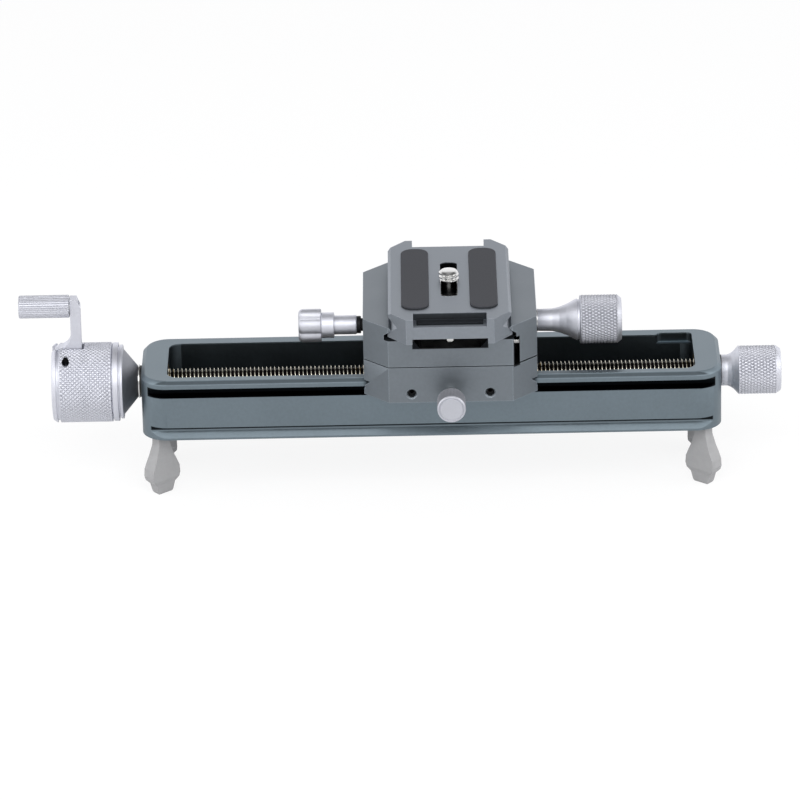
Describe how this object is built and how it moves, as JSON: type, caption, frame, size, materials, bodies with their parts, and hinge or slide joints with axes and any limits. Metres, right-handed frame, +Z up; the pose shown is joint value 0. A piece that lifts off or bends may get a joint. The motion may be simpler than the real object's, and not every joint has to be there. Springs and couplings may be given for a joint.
{
  "type": "macro focusing rail",
  "caption": "Screw-driven macro focusing rail: long slotted rail, folding crank, carriage with swivelling quick-release clamp and camera plate, on short feet.",
  "frame": {"origin": "centre of the rail's underside, on the axis of the tripod socket", "axes": "+X along the rail towards the plain hand wheel, +Y towards the back, +Z up"},
  "size_m": [0.2351, 0.0715, 0.0672],
  "materials": {
    "rail_anodised": "satin grey-blue anodised",
    "block_anodised": "satin grey-blue anodised",
    "plate_anodised": "satin grey-blue anodised",
    "satin_aluminium": "turned satin aluminium",
    "bright_steel": "turned steel",
    "screw_steel": "rolled thread, lightly oiled",
    "black_steel": "black oxide",
    "bearing_brass": "machined",
    "slide_polymer": "low-friction polymer",
    "black_polymer": "moulded",
    "black_rubber": "moulded rubber",
    "pad_rubber": "matt rubber",
    "foot_plastic": "moulded grey plastic"
  },
  "bodies": {
    "rail": {"rail_body": "rail_anodised", "screw_bushings": "bearing_brass", "seal_rings": "black_polymer", "tripod_bush": "bright_steel"},
    "drive": {"lead_screw": "screw_steel", "crank_knob": "satin_aluminium", "crank_hub": "satin_aluminium", "thrust_washer": "bright_steel", "right_knob": "satin_aluminium", "knob_set_screws": "black_steel", "crank_pin": "black_steel"},
    "crank_arm": {"crank_lever": "satin_aluminium", "handle_axle": "bright_steel"},
    "crank_handle": {"handle_sleeve": "satin_aluminium"},
    "carriage": {"carriage_block": "block_anodised", "drive_nuts": "bearing_brass", "gib_strip": "slide_polymer", "gib_set_screws": "black_steel", "swivel_hub": "bright_steel", "slip_ring": "slide_polymer", "hub_washer": "bright_steel", "hub_bolt": "black_steel"},
    "carriage_lock": {"lock_knob": "satin_aluminium", "lock_screw": "bright_steel"},
    "clamp": {"clamp_base": "block_anodised", "jaw_guide_pins": "bright_steel", "swivel_shoe": "bearing_brass"},
    "clamp_jaw": {"moving_jaw": "block_anodised", "jaw_washer": "bright_steel"},
    "clamp_wheel": {"clamp_knob": "satin_aluminium", "clamp_screw": "bright_steel"},
    "swivel_lock": {"wing_knob": "satin_aluminium", "wing_collar": "satin_aluminium", "wing_o_ring": "black_rubber", "wing_screw": "black_steel"},
    "plate": {"camera_plate": "plate_anodised", "pad_left": "pad_rubber", "pad_right": "pad_rubber", "plate_stop_pins": "bright_steel"},
    "mount_screw": {"camera_screw": "bright_steel", "screw_d_ring": "bright_steel"},
    "front_left_foot": {"foot_front_left": "foot_plastic"},
    "front_right_foot": {"foot_front_right": "foot_plastic"},
    "rear_left_foot": {"foot_rear_left": "foot_plastic"},
    "rear_right_foot": {"foot_rear_right": "foot_plastic"}
  },
  "joints": [
    {"name": "screw_turn", "type": "hinge", "parent": "rail", "child": "drive", "pos_m": [0, 0, 0.0125], "axis": [1, 0, 0], "range_deg": [-14112, 17568]},
    {"name": "carriage_travel", "type": "slide", "parent": "rail", "child": "carriage", "axis": [1, 0, 0], "range_m": [-0.061, 0.049]},
    {"name": "crank_fold", "type": "hinge", "parent": "drive", "child": "crank_arm", "pos_m": [-0.11275, 0, 0.0223], "axis": [0, -1, 0], "range_deg": [0, 180]},
    {"name": "handle_spin", "type": "hinge", "parent": "crank_arm", "child": "crank_handle", "pos_m": [-0.119, 0, 0.0381], "axis": [1, 0, 0], "continuous": true},
    {"name": "clamp_swivel", "type": "hinge", "parent": "carriage", "child": "clamp", "pos_m": [0.006, 0, 0.03], "axis": [0, 0, 1], "continuous": true},
    {"name": "clamp_knob_turn", "type": "hinge", "parent": "clamp_jaw", "child": "clamp_wheel", "pos_m": [0.045, 0, 0.0305], "axis": [1, 0, 0], "range_deg": [0, 1080]},
    {"name": "jaw_open", "type": "slide", "parent": "clamp", "child": "clamp_jaw", "axis": [1, 0, 0], "range_m": [0, 0.003]},
    {"name": "swivel_lock_turn", "type": "hinge", "parent": "clamp", "child": "swivel_lock", "pos_m": [-0.03, 0, 0.0301], "axis": [-1, 0, 0], "range_deg": [0, 540]},
    {"name": "carriage_lock_turn", "type": "hinge", "parent": "carriage", "child": "carriage_lock", "pos_m": [0.006, -0.036, 0.01785], "axis": [0, -1, 0], "range_deg": [0, 540]},
    {"name": "plate_slide", "type": "slide", "parent": "clamp", "child": "plate", "axis": [0, 1, 0], "range_m": [-0.0185, 0.0185]},
    {"name": "camera_screw_turn", "type": "hinge", "parent": "plate", "child": "mount_screw", "pos_m": [0.006, 0, 0.043], "axis": [0, 0, 1], "continuous": true},
    {"name": "front_left_foot_turn", "type": "hinge", "parent": "rail", "child": "front_left_foot", "pos_m": [-0.0839, -0.0124, 0], "axis": [0, 0, 1], "continuous": true},
    {"name": "front_right_foot_turn", "type": "hinge", "parent": "rail", "child": "front_right_foot", "pos_m": [0.0839, -0.0124, 0], "axis": [0, 0, 1], "continuous": true},
    {"name": "rear_left_foot_turn", "type": "hinge", "parent": "rail", "child": "rear_left_foot", "pos_m": [-0.0839, 0.0124, 0], "axis": [0, 0, 1], "continuous": true},
    {"name": "rear_right_foot_turn", "type": "hinge", "parent": "rail", "child": "rear_right_foot", "pos_m": [0.0839, 0.0124, 0], "axis": [0, 0, 1], "continuous": true}
  ],
  "couplings": [
    {"joint": "screw_turn", "follows": "carriage_travel", "rad_per_m": -5026.5},
    {"joint": "clamp_knob_turn", "follows": "jaw_open", "rad_per_m": 6283.2}
  ]
}
